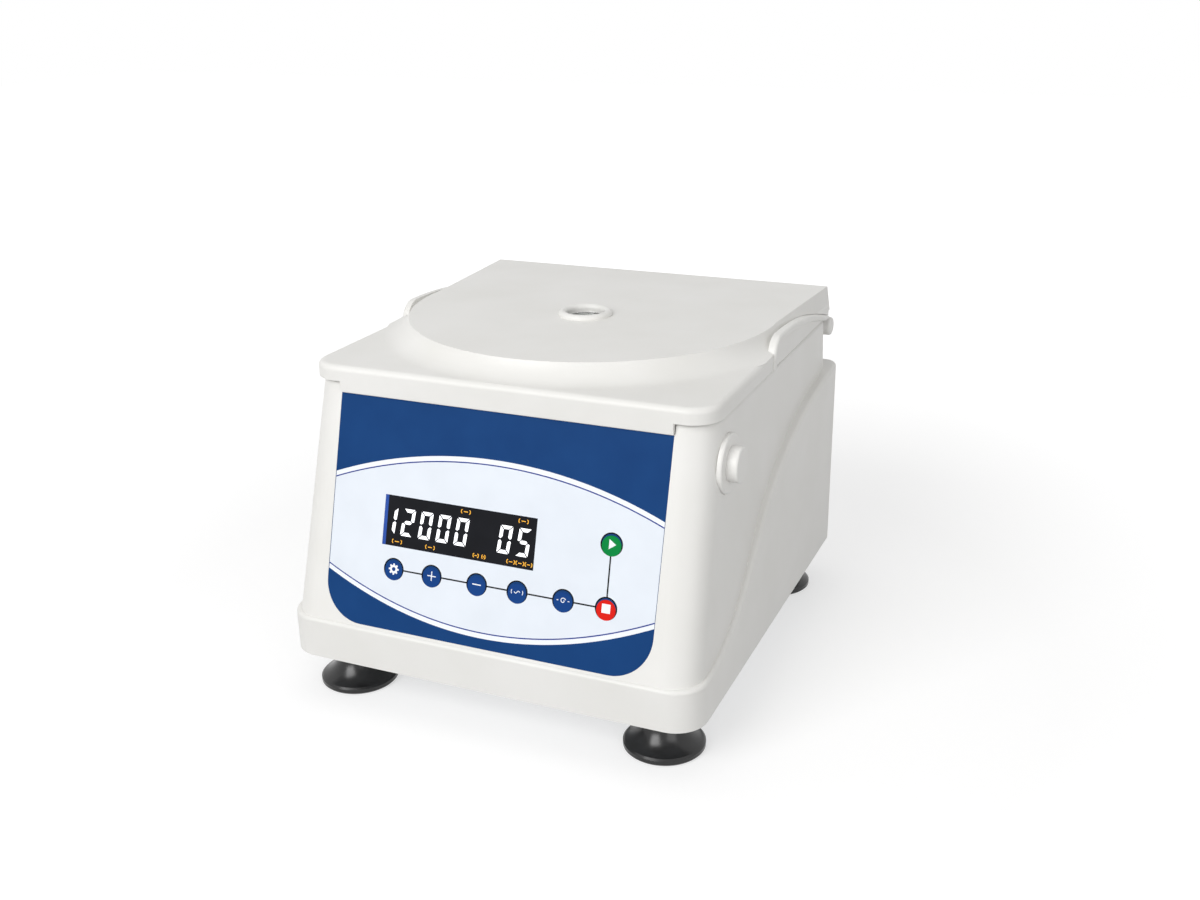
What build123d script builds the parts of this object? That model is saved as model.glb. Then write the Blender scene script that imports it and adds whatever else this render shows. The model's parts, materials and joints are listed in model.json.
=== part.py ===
from build123d import *
import math
import os

os.makedirs("parts", exist_ok=True)

# A bench hematocrit centrifuge, in millimetres. The floor is z = 0, the front looks to -Y,
# +X is the user's right, and the middle of the base lies at x = y = 0.

# Housing
base_w = 300.0  # width of the plinth
base_d = 330.0  # depth of the plinth
base_gap = 32.0  # floor to the housing's lower rim
plinth_h = 29.0
body_h = 156.0  # plinth's top to the deck
wall = 3.0
front_corner_r = 22.0
rear_corner_r = 10.0
front_ledge = 2.0  # ledge of the plinth before the leaning front
front_lean = 45.0  # how far the front leans back on its way up
side_ledge = 3.0
side_lean = 5.0
rear_inset = 15.0  # upper body behind the rear of the plinth
edge_r = 2.5
sweep_points = [(15.0, 0.0), (89.0, 21.0), (147.0, 71.0), (223.0, 105.0)]  # from the front, above the plinth
sweep_rear_h = 120.0

# Front panel, measured up the leaning face
panel_w = 236.0
panel_low = 1.5
panel_high = 155.0
panel_corner_r = 28.0
panel_t = 0.8
panel_sink = 1.0
display_x = -22.4
display_v = 75.0
display_w = 111.0
display_h = 33.3
window_t = 2.0
key_row_v = 41.8
start_key_v = 82.2
key_r = 6.5
key_t = 2.0
key_proud = 0.1  # a key's face before the panel's
key_stem_r = 2.0
key_gap = 0.1  # running gap round a key
key_columns = {
    "key_settings": -67.6,
    "key_plus": -38.9,
    "key_minus": -5.6,
    "key_ramp": 23.5,
    "key_pulse": 55.7,
    "key_stop": 85.0,
}
start_key_x = 84.6
board_depth = 12.5  # face of the panel to the front of the circuit board
board_t = 1.6
dome_h = 1.0
dome_r = 4.0
chip_h = 2.5
chips = ((-50.0, 14.0), (-15.0, 20.0), (30.0, 12.0))  # place across the board, and side
spacer_r = 3.5
snap_r = 1.5
snap_head_r = 2.6

# Chamber, motor and rotor, on one axis
axis_y = 16.0
deck_hole_r = 110.0
bowl_r = 106.0
bowl_depth = 47.0
bowl_t = 1.0
bowl_flange_r = 116.0
guard_r = 111.5
guard_t = 3.0
motor_r = 46.0
motor_h = 78.0
motor_wall = 3.0
motor_plate_r = 92.0
motor_plate_t = 3.0
motor_plate_drop = 26.0  # bowl's floor to the plate's top
mount_ring_r = 80.0
mount_count = 3
mount_r = 9.0
mount_h = 18.0
post_r = 6.0
shaft_r = 6.0
bearing_r = 11.0
bearing_h = 7.0
rotor_r = 100.0
rotor_base_t = 4.0
rotor_rim_h = 14.0
rotor_rim_w = 5.0
rotor_lift = 8.0  # bowl's floor to the rotor's underside
tube_places = 24
tube_slot_w = 3.4
block_h = 7.0
inner_blocks = (30.0, 66.0)
outer_blocks = (68.0, 91.0)
groove_pitch = 4.5
nut_r = 16.0
nut_h = 18.0
washer_r = 13.0
washer_t = 2.0

# Lid
lid_gap = 1.0  # deck to the lid's lower rim
lid_w = 286.5
lid_front_y = -122.0
lid_rear_y = 156.0
plate_h = 10.5  # lower rim to the top of the front plate
lid_h = 22.5  # lower rim to the flat top
lid_edge_r = 4.0
disc_y = 32.0
disc_r = 133.5
cove_w = 18.0
block_front_y = 30.0
block_rear_w = 280.6
tab_w = 235.8
tab_drop = 7.0
tab_t = 3.0
liner_t = 2.0
port_hole_r = 17.0
port_ring_r = 19.4
port_ring_h = 3.5
port_bore_r = 13.4
port_ledge = 1.5  # carries the glass
glass_t = 3.0
glass_drop = 2.0  # lid's top to the glass

# Lid hinge
hinge_y = 157.5
hinge_drop = 8.0  # deck to the hinge line
knuckle_r = 7.0
pin_r = 2.5
pin_gap = 0.05
fixed_knuckle = (128.0, 145.0)  # across the width, outwards
fixed_foot_w = 7.0
fixed_foot_h = 22.0
fixed_foot_t = 4.0
moving_knuckle = (96.0, 127.4)
leaf_reach = 42.0

# Release button and catch
button_y = -93.0
button_z = 186.0
flange_r = 19.3
flange_t = 3.4
cap_r = 11.5
cap_out = 7.4
button_travel = 4.0
striker_x = 117.0
striker_t = 1.5
striker_w = 18.0

# Feet and fasteners
foot_x = 116.0
foot_front_y = -130.0
foot_rear_y = 125.0
foot_r = 27.0
foot_neck_r = 13.0
foot_neck_z = 21.0
foot_waist = (18.0, 11.0)  # radius and height halfway down the flare
foot_lip_z = 5.0
foot_lip_edge = 1.2
foot_seat_w = 4.8
foot_cup = (15.0, 5.6)  # radius and height halfway up the hollow
foot_cup_z = 8.0
foot_cup_r = 7.0
foot_socket_z = 14.0
stud_r = 3.0
stud_low = 15.0
stud_out = 9.0  # above the base plate
stud_washer = (6.2, 1.2)  # radius and thickness
stud_nut = (5.7, 5.0)
screw_head = (3.0, 1.8)
plate_t = 2.0
plate_sink = 1.0
boss_r = 5.5
screw_r = 1.6
fit = 0.3  # gap between a loose piece and its neighbour

front_y = -base_d / 2
rear_y = base_d / 2
base_z = base_gap
plinth_z = base_z + plinth_h
deck_z = plinth_z + body_h
deck_low = deck_z - wall
body_front_y = front_y + front_ledge
body_rear_y = rear_y - rear_inset
floor_low = base_z + plate_sink
floor_z = floor_low + plate_t
lean = math.atan2(front_lean, body_h)
lid_z = deck_z + lid_gap
plate_z = lid_z + plate_h
lid_top = lid_z + lid_h
liner_z = lid_z + 2.6
bowl_floor = deck_z - bowl_depth
hinge_z = deck_z - hinge_drop
axis_at = Pos(0, axis_y, 0)
face = Plane(
    origin=(0, body_front_y, plinth_z),
    x_dir=(1, 0, 0),
    z_dir=(0, -math.cos(lean), math.sin(lean)),
)


def save(shape, name):
    export_step(shape, "parts/" + name + ".step")


def plan(half_w, y_front, y_rear, r_front, r_rear, z):
    outline = Pos(0, (y_front + y_rear) / 2) * Rectangle(2 * half_w, y_rear - y_front)
    outline = fillet(outline.vertices().group_by(Axis.Y)[0], r_front)
    outline = fillet(outline.vertices().group_by(Axis.Y)[-1], r_rear)
    return Pos(0, 0, z) * outline


def cylinder(x, y, low, high, radius):
    return Pos(x, y, (low + high) / 2) * Cylinder(radius, high - low)


def ring(x, y, low, high, r_in, r_out):
    return cylinder(x, y, low, high, r_out) - cylinder(x, y, low - 1, high + 1, r_in)


def block(x, y, z):
    # x, y and z are pairs: lowest and highest
    size = [pair[1] - pair[0] for pair in (x, y, z)]
    middle = [(pair[0] + pair[1]) / 2 for pair in (x, y, z)]
    return Pos(*middle) * Box(*size)


def along_x(y, z, low, high, radius):
    return Pos((low + high) / 2, y, z) * Rot(0, 90, 0) * Cylinder(radius, high - low)


def turned(points):
    # a closed outline of (radius, height) points, turned about the rotor's axis
    outline = make_face(Polyline(*points, close=True))
    return axis_at * revolve(Plane.XZ * outline, Axis.Z)


def on_face(x, v, out_low, out_high, shape_2d):
    # a flat shape on the leaning front, from out_low to out_high along its outward normal
    sketch = Pos(x, v, out_low) * shape_2d
    return face * extrude(sketch, out_high - out_low)


def both_sides(x, y_list):
    return [(side * x, y) for y in y_list for side in (-1, 1)]


# Housing shell

def upper_body(inset, top):
    half = base_w / 2 - side_ledge - inset
    low = plan(
        half, body_front_y + inset, body_rear_y - inset,
        front_corner_r - inset, rear_corner_r - inset, plinth_z,
    )
    high = plan(
        half - side_lean, body_front_y + front_lean + inset, body_rear_y - inset,
        front_corner_r - inset, rear_corner_r - inset, deck_z,
    )
    body = loft([low.face(), high.face()], ruled=True)
    if inset == 0:
        return fillet(body.edges().group_by(Axis.Z)[-1], edge_r)
    body -= block((-base_w, base_w), (-base_d, base_d), (top, deck_z + 1))
    return body + extrude(low, base_z - 1 - plinth_z)


def lower_wrap(inset):
    half = base_w / 2 - inset
    outline = plan(
        half, front_y + inset, rear_y - inset,
        front_corner_r - inset, rear_corner_r - inset, base_z - (1 if inset else 0),
    )
    solid = extrude(outline, plinth_h + sweep_rear_h + 5)
    points = [(front_y + d, plinth_z + h - inset) for d, h in sweep_points]
    points.append((rear_y + 1, plinth_z + sweep_rear_h - inset))
    curve = Spline(*points, tangents=[(1, 0), (1, 0.1)])
    rest = Polyline(
        points[-1], (rear_y + 1, base_z - 2), (front_y - 1, base_z - 2),
        (front_y - 1, plinth_z - inset), points[0],
    )
    side = extrude(Plane.YZ * make_face(curve + rest), base_w, both=True)
    solid = solid & side
    if inset:
        return solid
    tops = [f for f in solid.faces() if f.normal_at().Z > 0.3]
    rims = [e for f in tops for e in f.edges()]
    rims = [e for e in rims if sum(e.is_same(other) for other in rims) == 1]
    return fillet(rims, edge_r)


def screw_boss(x, y, low, high):
    side = 1 if x > 0 else -1
    rib = sorted((x, side * (base_w / 2 - wall / 2)))
    return cylinder(x, y, low, high, boss_r) + block(rib, (y - 2, y + 2), (low, high))


boss_x = base_w / 2 - wall - side_ledge - boss_r
boss_places = both_sides(boss_x, (front_y + 40, axis_y - 6, rear_y - 30))
panel_mid = (panel_low + panel_high) / 2
panel_shape = Rectangle(panel_w, panel_high - panel_low)
panel_shape = fillet(panel_shape.vertices().group_by(Axis.Y)[0], panel_corner_r)
rebate_z = plinth_z + (panel_high + 0.6) * math.cos(lean)
rebate_y = lid_front_y + tab_t + 1.5
key_places = {name: (x, key_row_v) for name, x in key_columns.items()}
key_places["key_start"] = (start_key_x, start_key_v)
button_x = base_w / 2 - side_ledge - side_lean * (button_z - plinth_z) / body_h
flange_back = button_x - 0.8
striker_out = striker_x + striker_t
slot_y = (button_y - striker_w / 2 - 3, button_y + striker_w / 2 + 1.5)
inlet_x, rear_z = -95.0, 78.0
switch_x = -52.0
inlet_w, inlet_h = 27.0, 20.0
inlet_depth = 17.0
inlet_wall = 1.5
inlet_lip = 1.8  # above and below the mouth
blade_t, blade_h = 2.0, 4.0
blade_back = 5.0  # blades end this far inside the mouth
blade_places = ((-7.0, -2.0), (0.0, 2.0), (7.0, -2.0))
switch_w, switch_h = 16.0, 24.0
vent_count = 9
vent_first_x = 20.0
vent_pitch = 11.0
vent_half_w = 2.0
vent_rise = (-18.0, 30.0)  # about the inlet's height


def make_housing():
    shell = upper_body(0, deck_z) + lower_wrap(0)
    shell -= upper_body(wall, deck_low) + lower_wrap(wall)
    # thicker wall behind the lid's front tab, then the rebate for the tab
    shell += block((-tab_w / 2 - 3, tab_w / 2 + 3), (rebate_y - 1, rebate_y + wall), (rebate_z - 6, deck_low + 1))
    shell -= block((-tab_w / 2 - 0.6, tab_w / 2 + 0.6), (front_y, rebate_y), (rebate_z, deck_z + 1))
    shell -= on_face(0, panel_mid, -panel_sink, 5, panel_shape)
    shell -= on_face(display_x, display_v, -wall - 1, 1, Rectangle(display_w + 2 * fit, display_h + 2 * fit))
    for x, v in key_places.values():
        shell -= on_face(x, v, -wall - 1, 1, Circle(key_r + fit))
    shell -= cylinder(0, axis_y, deck_low - 1, deck_z + 1, deck_hole_r)
    shell -= along_x(button_y, button_z, flange_back, base_w, flange_r + fit)
    shell -= along_x(button_y, button_z, button_x - 10, base_w, cap_r + 2.5)
    shell -= block((striker_x - 1, striker_out + 1), slot_y, (deck_low - 1, deck_z + 1))
    for x, w, h in ((inlet_x, inlet_w, inlet_h), (switch_x, switch_w, switch_h)):
        shell -= block(
            (x - w / 2 - fit, x + w / 2 + fit), (rear_y - wall - 1, rear_y + 1),
            (rear_z - h / 2 - fit, rear_z + h / 2 + fit),
        )
    for i in range(vent_count):
        x = vent_first_x + vent_pitch * i
        shell -= block(
            (x - vent_half_w, x + vent_half_w), (rear_y - wall - 1, rear_y + 1),
            (rear_z + vent_rise[0], rear_z + vent_rise[1]),
        )
    for x, y in boss_places:
        shell += screw_boss(x, y, floor_z, plinth_z - wall)
        shell -= cylinder(x, y, floor_z - 1, floor_z + 14, screw_r)
    return shell


housing = make_housing()
save(housing, "housing_shell")


# Base plate, its screws and the feet

foot_places = {
    "foot_front_left": (-foot_x, foot_front_y),
    "foot_front_right": (foot_x, foot_front_y),
    "foot_rear_left": (-foot_x, foot_rear_y),
    "foot_rear_right": (foot_x, foot_rear_y),
}


def make_base_plate():
    inset = wall + fit
    outline = plan(
        base_w / 2 - inset, front_y + inset, rear_y - inset,
        front_corner_r - inset, rear_corner_r - inset, floor_low,
    )
    plate = extrude(outline, plate_t)
    for x, y in foot_places.values():
        plate -= cylinder(x, y, base_z, floor_z + 1, stud_r + 0.2)
    for x, y in boss_places:
        plate -= cylinder(x, y, base_z, floor_z + 1, screw_r + 0.2)
    for i in range(-4, 5):
        plate -= block((i * 9 - 2, i * 9 + 2), (axis_y - 25, axis_y + 25), (base_z, floor_z + 1))
    return plate


def make_base_screw(x, y):
    head_r, head_h = screw_head
    head = cylinder(x, y, floor_low - head_h, floor_low, head_r)
    return head + cylinder(x, y, floor_low - head_h / 2, floor_z + 10, screw_r - 0.05)


def make_foot(x, y):
    socket_r = stud_r + 0.05
    lip_r = foot_r - foot_lip_edge
    seat_r = lip_r - foot_seat_w
    outline = Polyline((socket_r, floor_low), (foot_neck_r, floor_low), (foot_neck_r, foot_neck_z))
    flare = ThreePointArc((foot_neck_r, foot_neck_z), foot_waist, (lip_r, foot_lip_z))
    rim = Polyline(
        (lip_r, foot_lip_z), (foot_r, foot_lip_z - foot_lip_edge), (foot_r, foot_lip_edge), (lip_r, 0), (seat_r, 0)
    )
    hollow = ThreePointArc((seat_r, 0), foot_cup, (foot_cup_r, foot_cup_z))
    neck = Polyline(
        (foot_cup_r, foot_cup_z), (0, foot_cup_z), (0, foot_socket_z), (socket_r, foot_socket_z),
        (socket_r, floor_low),
    )
    section = make_face(outline + flare + rim + hollow + neck)
    return Pos(x, y, 0) * revolve(Plane.XZ * section, Axis.Z)


def make_foot_stud(x, y):
    washer_out, washer_h = stud_washer
    nut_out, nut_t = stud_nut
    stud = cylinder(x, y, stud_low, floor_z + stud_out, stud_r)
    washer = cylinder(x, y, floor_z, floor_z + washer_h, washer_out)
    nut = Pos(x, y, floor_z + washer_h) * extrude(RegularPolygon(nut_out, 6), nut_t)
    return stud + washer + nut


save(make_base_plate(), "base_plate")
save(Compound(children=[make_base_screw(x, y) for x, y in boss_places]), "base_screws")
for name, (x, y) in foot_places.items():
    save(make_foot(x, y), name)
save(Compound(children=[make_foot_stud(x, y) for x, y in foot_places.values()]), "foot_studs")


# Front panel, keys, display and control board

def make_front_panel():
    panel = on_face(0, panel_mid, -panel_sink, panel_t - panel_sink, panel_shape)
    panel -= on_face(display_x, display_v, -panel_sink - 1, 1, Rectangle(display_w + 0.2, display_h + 0.2))
    for x, v in key_places.values():
        panel -= on_face(x, v, -panel_sink - 1, 1, Circle(key_r + key_gap))
    return panel


panel_out = panel_t - panel_sink
board_front = panel_out - board_depth
dome_out = board_front + dome_h
key_travel = 0.4


def make_key(x, v):
    cap = on_face(x, v, panel_out - key_t, panel_out + key_proud, Circle(key_r))
    stem_low = dome_out + key_travel + key_gap
    return cap + on_face(x, v, stem_low, panel_out - key_t / 2, Circle(key_stem_r))


board_x = (-92.0, 104.0)
board_v = (26.0, 104.0)
standoff_places = [(x + s, v + t) for x, s in zip(board_x, (5, -5)) for v, t in zip(board_v, (5, -5))]


def make_control_board():
    w, h = board_x[1] - board_x[0], board_v[1] - board_v[0]
    middle = (board_x[0] + w / 2, board_v[0] + h / 2)
    board = on_face(*middle, board_front - board_t, board_front, Rectangle(w, h))
    chip_back = board_front - board_t
    for x, size in chips:
        board += on_face(x, display_v, chip_back - chip_h, chip_back + 0.2, Rectangle(size, size))
    for x, v in standoff_places:
        board -= on_face(x, v, board_front - board_t - 1, board_front + 1, Circle(snap_r + 0.1))
    return board


def make_standoff(x, v):
    head_low = board_front - board_t - snap_r
    spacer = on_face(x, v, board_front, -wall * math.cos(lean) - 0.02, Circle(spacer_r))
    snap = on_face(x, v, head_low, board_front + 0.5, Circle(snap_r))
    head = on_face(x, v, head_low, board_front - board_t, Circle(snap_head_r))
    return spacer + snap + head


window_back = panel_out - window_t
save(make_front_panel(), "front_panel")
for name, (x, v) in key_places.items():
    save(make_key(x, v), name)
save(on_face(display_x, display_v, window_back, panel_out, Rectangle(display_w, display_h)), "display_window")
save(
    on_face(display_x, display_v, board_front, window_back, Rectangle(display_w - 1, display_h - 1)),
    "display_module",
)
save(make_control_board(), "control_board")
save(Compound(children=[make_standoff(x, v) for x, v in standoff_places]), "board_standoffs")
domes = [on_face(x, v, board_front, dome_out, Circle(dome_r)) for x, v in key_places.values()]
save(Compound(children=domes), "dome_switches")


# Chamber bowl and guard ring

def make_bowl():
    out = bowl_r + bowl_t
    hub = shaft_r + 7
    return turned([
        (hub, bowl_floor), (bowl_r - 6, bowl_floor), (bowl_r, bowl_floor + 6), (bowl_r, lid_z),
        (bowl_flange_r, lid_z), (bowl_flange_r, deck_z), (out, deck_z), (out, bowl_floor + 5.6),
        (bowl_r - 5.6, bowl_floor - bowl_t), (hub, bowl_floor - bowl_t),
    ])


def make_guard_ring():
    guard = ring(0, axis_y, floor_z, deck_low - fit, guard_r, guard_r + guard_t)
    for angle in (45, 135):
        guard -= axis_at * Pos(0, 0, floor_z) * Rot(0, 0, angle) * Box(3 * guard_r, 60, 90)
    return guard


save(make_bowl(), "chamber_bowl")
save(make_guard_ring(), "guard_ring")


# Motor on its plate, rubber mounts and posts

motor_top = bowl_floor - motor_plate_drop - motor_plate_t
plate_top = motor_top + motor_plate_t
motor_low = motor_top - motor_h
boss_high = plate_top + bearing_h + 2
mount_angles = [90 + 360 / mount_count * i for i in range(mount_count)]


def mount_place(angle):
    turn = math.radians(angle)
    return mount_ring_r * math.cos(turn), axis_y + mount_ring_r * math.sin(turn)


def make_motor_plate():
    plate = cylinder(0, axis_y, motor_top, plate_top, motor_plate_r)
    plate -= cylinder(0, axis_y, motor_top - 1, plate_top + 1, bearing_r + 4 + fit)
    for angle in mount_angles:
        x, y = mount_place(angle)
        plate -= cylinder(x, y, motor_top - 1, plate_top + 1, stud_r + 0.2)
    return plate


def make_mount(angle):
    x, y = mount_place(angle)
    body = cylinder(x, y, motor_top - mount_h, motor_top, mount_r)
    waist = Pos(x, y, motor_top - mount_h / 2) * Torus(mount_r + 5, 7)
    return (body - waist) + cylinder(x, y, motor_top - 1, plate_top + 6, stud_r)


def make_post(angle):
    x, y = mount_place(angle)
    return cylinder(x, y, floor_z, motor_top - mount_h, post_r) + cylinder(x, y, floor_z, floor_z + 4, post_r + 5)


def make_motor_body():
    inside = motor_r - motor_wall
    can = cylinder(0, axis_y, motor_low, motor_top, motor_r)
    can += cylinder(0, axis_y, motor_top - 1, boss_high, bearing_r + 4)
    can -= cylinder(0, axis_y, motor_low + bearing_h + 2, motor_top - motor_wall, inside)
    can -= cylinder(0, axis_y, motor_low + 2, motor_top, bearing_r + 0.02)
    can -= cylinder(0, axis_y, motor_top - 5, boss_high - 2, bearing_r + 0.02)
    return can - cylinder(0, axis_y, boss_high - 3, boss_high + 1, shaft_r + 1.5)


def make_bearing(low):
    return ring(0, axis_y, low, low + bearing_h, shaft_r + 0.03, bearing_r)


save(make_motor_plate(), "motor_plate")
save(Compound(children=[make_mount(angle) for angle in mount_angles]), "rubber_mounts")
save(Compound(children=[make_post(angle) for angle in mount_angles]), "mount_posts")
save(make_motor_body(), "motor_body")
upper_low = boss_high - 2 - bearing_h
save(make_bearing(upper_low), "upper_bearing")
save(make_bearing(motor_low + 2), "lower_bearing")
core_low = motor_low + bearing_h + 16
core_high = motor_top - 16
save(ring(0, axis_y, core_low - 4, core_high + 4, 28, motor_r - motor_wall - 0.05), "motor_stator")
save(ring(0, axis_y, core_low, core_high, shaft_r + 0.02, 27.4), "motor_core")


# Rotor, shaft and nut

rotor_low = bowl_floor + rotor_lift
rotor_z = rotor_low + rotor_base_t
rotor_seat_r = 10.0
hub_z = rotor_z + 2
shaft_top = hub_z + washer_t + nut_h - 4


def make_shaft():
    shaft = cylinder(0, axis_y, motor_low + 3, rotor_low, shaft_r)
    shaft += cylinder(0, axis_y, rotor_low - 6, rotor_low, rotor_seat_r)
    return shaft + cylinder(0, axis_y, rotor_low - 1, shaft_top, shaft_r - 1)


def block_band(low_r, high_r):
    # the band's top carries round grooves that hold the tubes' paper
    band = ring(0, axis_y, rotor_z - 1, rotor_z + block_h, low_r, high_r)
    count = int((high_r - low_r) / groove_pitch)
    for i in range(1, count):
        radius = low_r + i * (high_r - low_r) / count
        band -= ring(0, axis_y, rotor_z + block_h - 1.2, rotor_z + block_h + 1, radius - 0.7, radius + 0.7)
    return band


def make_rotor_plate():
    rim_in = rotor_r - rotor_rim_w
    plate = turned([
        (shaft_r - 0.95, rotor_low), (rotor_r - 2, rotor_low), (rotor_r, rotor_low + 2),
        (rotor_r, rotor_low + rotor_rim_h - 2), (rotor_r - 2, rotor_low + rotor_rim_h),
        (rim_in + 1, rotor_low + rotor_rim_h), (rim_in, rotor_low + rotor_rim_h - 1),
        (rim_in, rotor_z), (inner_blocks[0] - 3, rotor_z), (inner_blocks[0] - 5, hub_z),
        (shaft_r - 0.95, hub_z),
    ])
    blocks = block_band(*inner_blocks) + block_band(*outer_blocks)
    length = rim_in - inner_blocks[0] + 6
    slot = Pos(inner_blocks[0] - 4 + length / 2, 0, rotor_z + block_h / 2) * Box(length, tube_slot_w, block_h)
    for i in range(tube_places):
        blocks -= axis_at * Rot(0, 0, 360 / tube_places * (i + 0.5)) * slot
    return plate + blocks


def make_nut():
    low = hub_z + washer_t
    nut = cylinder(0, axis_y, low, low + nut_h, nut_r)
    nut = chamfer(nut.edges().group_by(Axis.Z)[-1], 1.5)
    nut -= cylinder(0, axis_y, low - 1, low + nut_h + 1, shaft_r - 0.9)
    nut -= axis_at * Pos(0, 0, low + nut_h) * Cone(nut_r - 8, nut_r - 4, 8)
    for i in range(12):
        turn = math.radians(30 * i)
        x, y = (nut_r + 1) * math.cos(turn), axis_y + (nut_r + 1) * math.sin(turn)
        nut -= cylinder(x, y, low + 5, low + nut_h + 1, 2)
    return nut


gasket_out = rotor_r - rotor_rim_w - 0.02
save(make_shaft(), "motor_shaft")
save(make_rotor_plate(), "rotor_plate")
save(ring(0, axis_y, rotor_z + 0.01, rotor_z + 8, outer_blocks[1] + 0.5, gasket_out), "rotor_gasket")
save(ring(0, axis_y, hub_z, hub_z + washer_t, shaft_r - 0.9, washer_r), "rotor_washer")
save(make_nut(), "rotor_nut")


# Lid shell, liner, gasket and sight port

def lid_form(inset):
    half = lid_w / 2 - inset
    low, top = (lid_z - 1 if inset else lid_z), lid_top - inset
    plate_top_z = plate_z - inset
    outline = plan(half, lid_front_y + inset, lid_rear_y - inset, 20 - inset, 5 - inset, low)
    slab = extrude(outline, plate_top_z - low)
    if not inset:
        slab = fillet(slab.edges().group_by(Axis.Z)[-1], lid_edge_r)
    disc_top_r = disc_r - inset
    drop = top - plate_top_z
    arc_r = (cove_w ** 2 + drop ** 2) / (2 * drop)
    foot_ring = disc_top_r + cove_w
    part_turn = math.asin(cove_w / arc_r) / 2
    middle = (foot_ring - arc_r * math.sin(part_turn), plate_top_z + arc_r * (1 - math.cos(part_turn)))
    cove = ThreePointArc((disc_top_r, top), middle, (foot_ring, plate_top_z))
    rest = Polyline((foot_ring, plate_top_z), (foot_ring, low), (0, low), (0, top), (disc_top_r, top))
    disc = Pos(0, disc_y, 0) * revolve(Plane.XZ * make_face(cove + rest), Axis.Z)
    disc &= extrude(outline, lid_h + 2)
    front_half = math.sqrt(disc_top_r ** 2 - (disc_y - block_front_y) ** 2) - 0.8
    low_z = plate_z - lid_edge_r - 2 - inset
    rear = lid_rear_y - inset
    foot_half = half - 0.3
    foot = Polyline(
        (-foot_half, block_front_y), (foot_half, block_front_y), (foot_half, rear), (-foot_half, rear), close=True
    )
    crown_half = block_rear_w / 2 - inset
    crown = Polyline(
        (-front_half, block_front_y), (front_half, block_front_y), (crown_half, rear), (-crown_half, rear),
        close=True,
    )
    hump = loft([Pos(0, 0, low_z) * make_face(foot), Pos(0, 0, top) * make_face(crown)], ruled=True)
    return slab + disc + hump


arch_foot_y = 2.0
arch_rear_y = 154.0
arch_rise = 21.5  # lid's rim to the arch's top
arch_front_r = 15.0
arch_low = lid_z + fit
arch_in = 139.0
arch_out = 144.8
arch_bead = 5.0
arch_panel_out = 142.4


arch_round_r = 2.2
arch_tip_y = 150.0  # small upright face that ends the bead
arch_mid_y = arch_foot_y + arch_front_r
arch_long_r = ((arch_rear_y - arch_mid_y) ** 2 + arch_rise ** 2) / (2 * arch_rise)
arch_top = lid_z + arch_rise
arch_bottom = lid_z - 12


def arch_turn(top, long_r):
    # how far round the long arc runs before it reaches the bottom, in radians
    return math.acos((arch_bottom - top + long_r) / long_r)


def arch_face(shrink):
    # a quarter round in front, then one long arc that falls to the rear, both moved in by shrink
    top = arch_top - shrink
    small, large = arch_front_r - shrink, arch_long_r - shrink
    turn = arch_turn(top, large)
    corner = math.sqrt(0.5) * small
    foot = (arch_foot_y + shrink, top - small)
    crown = (arch_mid_y, top)
    rear = (arch_mid_y + large * math.sin(turn), arch_bottom)
    front = ThreePointArc(foot, (arch_mid_y - corner, top - small + corner), crown)
    half_fall = large * (1 - math.cos(turn / 2))
    back = ThreePointArc(crown, (arch_mid_y + large * math.sin(turn / 2), top - half_fall), rear)
    rest = Polyline(rear, (foot[0], arch_bottom), foot)
    return Plane.YZ * make_face(front + back + rest)


def arch_solid(shrink, low_x, high_x):
    return Pos(low_x, 0, 0) * extrude(arch_face(shrink), high_x - low_x)


def make_bead():
    # one rounded section, turned about each arc's centre and run straight down at the foot
    section = Rectangle(arch_out - arch_in, arch_bead)
    section = fillet(section.vertices().group_by(Axis.X)[-1], arch_round_r)
    middle = ((arch_in + arch_out) / 2, arch_mid_y, arch_top - arch_bead / 2)
    section = Plane(origin=middle, x_dir=(1, 0, 0), z_dir=(0, -1, 0)) * section
    front_z = arch_top - arch_front_r
    front = revolve(section, Axis((0, arch_mid_y, front_z), (1, 0, 0)), 90)
    turn = math.degrees(arch_turn(arch_top, arch_long_r))
    back = revolve(section, Axis((0, arch_mid_y, arch_top - arch_long_r), (-1, 0, 0)), turn)
    foot = Pos(0, arch_mid_y, front_z) * Rot(90, 0, 0) * Pos(0, -arch_mid_y, -front_z) * section
    return front + back + extrude(foot, front_z - arch_bottom, dir=(0, 0, -1))


def make_arch():
    arch = make_bead() + arch_solid(arch_bead / 2, arch_in, arch_panel_out)
    across = (arch_in - 1, arch_out + 1)
    deep = arch_bottom - 3 * arch_bead
    arch -= block(across, (-base_d, base_d), (deep, arch_low))
    return arch - block(across, (arch_tip_y, base_d), (deep, arch_top + 1))


liner_screw_places = both_sides(128.0, (lid_front_y + 18,)) + both_sides(84.0, (lid_rear_y - 10,)) + both_sides(
    60.0, (lid_front_y + 12,)
)
liner_top = liner_z + liner_t
arch_gap_cut = arch_solid(-fit, arch_in - fit, lid_w)


def make_lid_shell():
    shell = lid_form(0) - lid_form(wall)
    tab_low = lid_z - tab_drop
    shell += block((-tab_w / 2, tab_w / 2), (lid_front_y, lid_front_y + tab_t), (tab_low, lid_z + 6))
    for x, y in liner_screw_places:
        shell += cylinder(x, y, liner_top, plate_z - wall + 0.5, 4)
    # webs that carry the liner's rear screws up to the crown
    for x, y in both_sides(84.0, (lid_rear_y - 10,)):
        shell += cylinder(x, y, liner_top, lid_top - 1, 4)
    for x, y in liner_screw_places:
        shell -= cylinder(x, y, liner_top - 1, liner_top + 5, 1.3)
    shell -= cylinder(0, axis_y, lid_z, lid_top + 1, port_hole_r)
    shell -= arch_gap_cut
    shell -= mirror(arch_gap_cut, about=Plane.YZ)
    low, high = moving_knuckle
    for pair in ((low - fit, high + fit), (-high - fit, -low + fit)):
        shell -= block(pair, (lid_rear_y - wall - 1, lid_rear_y + 1), (lid_z - 1, liner_z))
    return shell


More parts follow.
